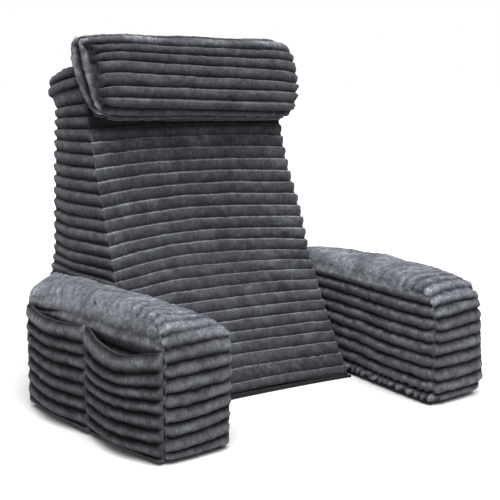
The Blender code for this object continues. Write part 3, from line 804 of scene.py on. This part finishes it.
def stuffed_roll(name, seed):
    """The neck roll: i runs along it, j up its front panel and k through the strip round it.
    Its section is a patch spanned by four curves of the oval: p goes up it and q forwards. t
    goes from -1 at its left end to 1 at its right one."""
    panel_ribs = len(ROLL_LINES[0]) - 1
    along = edge_lines(2 * ROLL_HALF_WIDTH, 0.0040)
    rows = rib_lines(panel_ribs)
    strip_rows = rib_lines(ROLL_STRIP_RIBS)
    i, j, k, quads = shell_grid((len(along) - 1, len(rows) - 1, len(strip_rows) - 1))
    on_front, on_back = k == len(strip_rows) - 1, k == 0
    at_end = (i == 0) | (i == len(along) - 1)
    rib, strip_rib = rows[j], strip_rows[k]
    t = along[i] / ROLL_HALF_WIDTH - 1
    p = rib / panel_ribs
    q = strip_rib / ROLL_STRIP_RIBS
    toward_right = np.clip((t + 0.38) / 1.05, -0.6, 1.3)

    def front_angle(rib):
        left, right = (line_at(rib, lines) for lines in ROLL_LINES)
        return (1 - toward_right) * left + toward_right * right

    low_front, high_front = front_angle(0), front_angle(panel_ribs)
    low_back, high_back = ROLL_BACK_LINES
    front = roll_section(front_angle(rib))
    back = roll_section(low_back + p * (high_back - low_back))
    low = roll_section(low_back + q * (low_front - low_back))
    high = roll_section(high_back + 360 + q * (high_front - high_back - 360))
    corners = ((1 - p) * (1 - q) * roll_section(np.full(len(p), low_back))
               + (1 - p) * q * roll_section(low_front)
               + p * (1 - q) * roll_section(np.full(len(p), high_back))
               + p * q * roll_section(high_front))
    out, rise = (1 - q) * back + q * front + (1 - p) * low + p * high - corners
    # the ends draw together, and their lower and upper corners are cut round
    end = np.clip((np.abs(t) - 1) * ROLL_HALF_WIDTH / ROLL_TAPER + 1, 0, 1)
    taper = 1 - np.sqrt(1 - end ** 2)
    near = ROLL_END_SPAN[0] * taper
    far = ROLL_DEPTH + (ROLL_END_SPAN[1] - ROLL_DEPTH) * taper
    half_height = ROLL_HALF_HEIGHT * (1 - ROLL_END_SHRINK * taper)
    rise = rise * (1 - np.where(rise > 0, 0.0, ROLL_END_SHRINK) * taper)
    out = near + (far - near) * out / ROLL_DEPTH
    level = rise / half_height
    low_cuts = (np.interp(rise + half_height, LOW_CUT_AT, cuts) for cuts in LOW_CUTS)
    low_cut = np.where(t < 0, *low_cuts)
    top_radius = np.where(t < 0, *ROLL_TOP_RADII)
    highness = np.clip(1 - (half_height - rise) / top_radius, 0, 1)
    highness = highness * np.clip(2.0 * out / ROLL_DEPTH, 0, 1)
    cut = low_cut + top_radius * (1 - np.sqrt(1 - highness ** 2))
    # the left end of the front panel stands back from the strip round it
    stands_back = smooth((level + 0.7) / 0.9) * (1 - 0.65 * smooth((level - 0.6) / 0.35))
    cut = cut + (t < 0) * ROLL_SET_BACK * q ** 1.5 * stands_back
    reach = t * (ROLL_HALF_WIDTH - cut * np.abs(t) ** 3)
    hang = ROLL_HANG * reach * (1 - np.clip(level, 0, 1) ** 2)
    points = np.stack([
        ROLL_CENTRE[0] + reach,
        ROLL_CENTRE[1] + rise * np.sin(ROLL_LEAN) - out * np.cos(ROLL_LEAN),
        ROLL_CENTRE[2] + rise * np.cos(ROLL_LEAN) + out * np.sin(ROLL_LEAN) - hang], axis=-1)
    points, quads, normals = stuffed(points, quads, ROLL_LUMP_DEPTH, 0.060, seed, ~on_back)
    wobble = rib_wander(points, seed + 1, 0.014)
    rib = np.where(on_front, rib + wobble, np.where(on_back, ROLL_BACK_RIBS * p, strip_rib))
    pile = pile_height(rib, rib_depth(points, seed), np.where(on_front, COMBED_CREST, 0.5))
    to_end = np.minimum(along[i], 2 * ROLL_HALF_WIDTH - along[i])
    to_strip_seam = np.minimum(strip_rib, ROLL_STRIP_RIBS - strip_rib) * RIB_PITCH
    seam = np.where(on_front | on_back, near_seam(to_end, 0.012), near_seam(to_strip_seam, 0.003))
    height = into_seam(pile, seam, 0.0045)
    # both ends of the panel are gathered, and the strip is ragged where it turns and below
    gather = near_seam(to_end, 0.026) * on_front
    ragged = ~on_front * ~on_back * (near_seam(to_end, 0.010) + smooth(-level - 0.6))
    tufts = tuft_height(points, seed) + 0.0011 * rumple(points, 0.0065, seed + 8) * ragged
    tufts = tufts - 0.0030 * gather ** 2 * (1 + 0.8 * rumple(points, 0.0070, seed + 9))
    points = covered(points, normals, height + tufts)
    # painted light and shade: dark in the grooves, darker in the gathers, held low at the seams;
    # the end faces painted lighter, the underside of the strip painted darker and the front a
    # little darker. The nap and blotches make it uneven, more where the strip is ragged.
    painted_light_and_patches = painted_pile_shade(pile * (1 + 1.2 * gather))
    painted_light_and_patches = np.where(on_front, 0.55 * combed_painted_light(rib) + 0.45 * painted_light_and_patches, painted_light_and_patches) * (1 - 0.3 * gather)
    painted_light_and_patches = painted_light_and_patches * (1 - seam) + 0.25 * seam
    painted_light_and_patches = painted_light_and_patches * (1 + 0.60 * at_end) * patchy(points, seed, 0.12 + 0.30 * ragged, 0.08)
    painted_light_and_patches = painted_light_and_patches * (1 - 0.42 * smooth(-level - 0.5) * ~on_front) * (1 - 0.06 * on_front)
    # paler where the pile is ruffled on top, with a painted highlight along the upper edges of the
    # front ribs, and pale flecks low on the strip
    ruffled = smooth(0.5 + rumple(points, 0.035, seed + 2)) * smooth((level - 0.55) / 0.3)
    brushed_and_highlit = np.maximum(ruffled, 0.6 * painted_edge_highlight(rib) * on_front)
    flecks = smooth(rumple(points, TUFT_SIZE, seed + 11) - 0.5) * smooth(-level - 0.6)
    brushed_and_highlit = np.maximum(brushed_and_highlit, flecks * ~on_front)
    return plush_piece(name, points, quads, painted_light_and_patches, brushed_and_highlit, seed)


roll_piece = stuffed_roll("stuffed_neck_roll", seed=71)
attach(roll_piece, "root")
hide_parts("neck_roll")

# ----------------------------------------------------------
# Pockets: two patch pockets side by side on the outer side of the left arm, each a panel of
# the same plush with a hem at its mouth. They are sewn down along both sides and the foot,
# and between the seams they stand off the arm.
POCKET_TURN = (0.0132, 0.0170)  # the arm's front edge is round by this along and across it
POCKET_HEIGHT = 0.150
POCKET_THICK = 0.0096
POCKET_LEAST_THICK = 0.0022
HEM_FLATTER = 0.45
HEM_PALER = 0.30
# start and end are how far along the arm a pocket's two seams lie, at the foot and 150 mm up.
# Rib lines are given at both, hollow is how far it stands off the arm between them, and sag is
# how much lower its mouth hangs at nine stations from start to end.
POCKETS = {
    "front": {
        "seed": 91, "start": (0.0, 0.0), "end": (0.157, 0.163), "hollow": 0.015,
        "start_lines": (.0030, .0104, .0290, .0470, .0680, .0850, .1030, .1220, .1465),
        "end_lines": (.0030, .0108, .0295, .0480, .0660, .0840, .1006, .1186, .1525),
        "sag": (0.0, 0.004, 0.010, 0.0145, 0.0135, 0.0105, 0.0085, 0.003, 0.0),
    },
    "rear": {
        "seed": 101, "start": (0.158, 0.164), "end": (0.324, 0.324), "hollow": 0.013,
        "start_lines": (.0030, .0130, .0325, .0516, .0710, .0910, .1106, .1286, .1525),
        "end_lines": (.0030, .0187, .0385, .0580, .0760, .0945, .1130, .1310, .1550),
        "sag": (0.0, 0.002, 0.003, 0.004, 0.004, 0.004, 0.003, 0.002, 0.0),
    },
}


def pocket_path(reach, out):
    """Plan points at distances reach along the arm's outer side from its front seam, and out
    from it. The first stretch goes an eighth of a turn round the front edge."""
    arm = ARMS["left"]
    corner = np.array(arm["front_outer"])
    way = np.subtract(arm["rear_outer"], corner)
    length = np.linalg.norm(way)
    way = way / length
    outwards = np.array([-way[1], way[0]])
    turn_length = np.pi / 4 * np.hypot(*POCKET_TURN) / np.sqrt(2)
    angle = np.pi / 4 * np.clip(1 - reach / turn_length, 0, 1)
    forward = POCKET_TURN[0] * (1 - np.sin(angle)) + np.maximum(reach - turn_length, 0)
    back_in = POCKET_TURN[1] * (1 - np.cos(angle))
    bulge = ARM_BELLY * np.sin(np.pi * forward / length)
    along = forward - out * np.sin(angle)
    aside = bulge - back_in + out * np.cos(angle)
    return corner + along[:, None] * way + aside[:, None] * outwards


def patch_pocket(name, spot):
    """A pocket panel: i runs backwards along the arm, j out through the cloth and k up. t is the
    share of the way from its start to its end."""
    seed = spot["seed"]
    ribs = len(spot["start_lines"]) - 1
    width = spot["end"][0] - spot["start"][0]
    along = edge_lines(width, 0.0038)
    rows = rib_lines(ribs)
    i, j, k, quads = shell_grid((len(along) - 1, 1, len(rows) - 1))
    t = along[i] / width
    rib = rows[k]
    z = (1 - t) * line_at(rib, spot["start_lines"]) + t * line_at(rib, spot["end_lines"])
    h = z / POCKET_HEIGHT
    # its mouth sags, in a line whose bends are evened out
    stations = np.linspace(0, 1, 81)
    sag_line = np.interp(stations, np.linspace(0, 1, len(spot["sag"])), spot["sag"])
    sag_line = np.convolve(np.pad(sag_line, 4, "edge"), np.ones(9) / 9, "valid")
    z = z - np.interp(t, stations, sag_line) * np.clip(rib / ribs, 0, 1) ** 3
    start, end = (spot[seam][0] + h * (spot[seam][1] - spot[seam][0]) for seam in ("start", "end"))
    reach = start * (1 - t) + t * end
    out = -0.0030 + spot["hollow"] * np.sin(np.pi * t) * smooth(h / 0.16)
    out = out - 0.008 * np.clip(1 - z / 0.018, 0, 1) ** 2
    z = z + 0.004 * np.sin(np.pi * t) * (1 - smooth(z / 0.02))
    where = np.column_stack([pocket_path(reach, out), z])
    wobble = rib_wander(where, seed + 1) * (rib > 0.5) * (rib < ribs - 0.5)
    hem = smooth(rib - ribs + 1)
    pile = pile_height(rib + wobble, rib_depth(where, seed, 0.92)) * (1 - HEM_FLATTER * hem)
    seam = near_seam(np.minimum(along[i], width - along[i]), 0.005)
    height = into_seam(pile, seam, 0.0050) + 0.0008 * rumple(where, 0.050, seed)
    height = POCKET_THICK + height + tuft_height(where, seed)
    thick = np.maximum(height, POCKET_LEAST_THICK) * j
    points = np.column_stack([pocket_path(reach, out + thick), z])
    quads = face_out(points, quads)
    # painted shade: dark in the wide grooves and lifted to full at the seams, the back of the cloth
    # at 0.6, and the whole pocket painted darker by 0.78; the nap and blotches make it uneven, and
    # the hem is paler
    painted_light_and_patches = (painted_pile_shade(1.8 * pile) * (1 - seam) + seam) * j + 0.6 * (1 - j)
    painted_light_and_patches = 0.78 * painted_light_and_patches * patchy(points, seed, 0.13, 0.10) * (1 + HEM_PALER * hem)
    brushed_and_highlit = (0.25 * smooth(rumple(points, 0.040, seed + 2) - 0.2) + 0.45 * hem) * j
    return plush_piece(name, points, quads, painted_light_and_patches, brushed_and_highlit, seed, sheen=0.05)


for pocket_place, spot in POCKETS.items():
    pocket_piece = patch_pocket("patch_pocket_" + pocket_place, spot)
    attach(pocket_piece, "root")
    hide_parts("pocket_" + pocket_place)

# ----------------------------------------------------------
# Base cloths: plain black woven cloth under each arm and under the cushion, sewn to the foot of
# the plush all round. The cushion's is turned up a little in front, where it shows as a strip.
CLOTH_THICK = 0.0022
CLOTH_BLACK = (0.010, 0.010, 0.011, 1.0)
LIP_ROWS = 4


def woven(name):
    """Matt black cloth. The fine even ridges of its weave are raised by a wave."""
    material, shader = new_material(name, 0.85, 0.2)
    shader.inputs["Base Color"].default_value = CLOTH_BLACK
    tree = material.node_tree
    place = tree.nodes.new("ShaderNodeTexCoord")
    weave = tree.nodes.new("ShaderNodeTexWave")
    weave.inputs["Scale"].default_value = 400.0
    tree.links.new(place.outputs["Object"], weave.inputs["Vector"])
    ridges = bump(tree, weave.outputs["Fac"], 0.3, 0.0004)
    tree.links.new(ridges.outputs["Normal"], shader.inputs["Normal"])
    return material


def flat_cloth(name, cells, ground):
    """A cloth on the floor: at shares of the way across and back, ground gives its plan points
    and how high its front edge is turned up there, over its first rows."""
    i, j, k, quads = shell_grid(cells)
    standing = np.clip(1 - j / LIP_ROWS, 0, 1)
    x, y, lip = ground(i / cells[0], np.clip((j - LIP_ROWS) / (cells[1] - LIP_ROWS), 0, 1))
    y = y + k * CLOTH_THICK * (standing > 0)
    z = lip * standing + k * CLOTH_THICK * (standing < 1)
    points = np.stack([x, y - 0.0001 * standing, z], axis=-1)
    piece = make_mesh(name, points + MARK, face_out(points, quads), {})
    piece.data.materials.append(woven(name + "_cloth"))
    return piece


def under_arm(arm, u, v):
    """Plan points under an arm, in from its foot on all sides, and a low lip."""
    length = inner_side(arm)[1][-1]
    x, y = arm_ground(arm, 0.10 + 0.70 * u, 0.014 + 0.018 * u * (1 - v) + (length - 0.028) * v)
    return x, y, 0.002


def under_cushion(u, v):
    """Plan points under the cushion, between the arms. Its front edge is hollow, as 1 - t^2, and
    its lip is highest by its left end and low at both corners."""
    t = 2 * u - 1
    y = -0.0450 + 0.008 * (1 - t * t) * (1 - v) + v * 0.315
    lip = 0.0025 + (0.0065 - 0.0045 * u) * smooth(np.minimum(u, 1 - u) / 0.05)
    return t * (to_arms(t, y) - 0.004), y, lip


for arm_side, arm in ARMS.items():
    under = lambda u, v: under_arm(arm, u, v)
    base_piece = flat_cloth("base_cloth_" + arm_side, (24, 96, 1), under)
    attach(base_piece, "root")
    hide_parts("base_" + arm_side)

base_piece = flat_cloth("base_cloth_back", (80, 100, 1), under_cushion)
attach(base_piece, "root")
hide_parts("base_back")
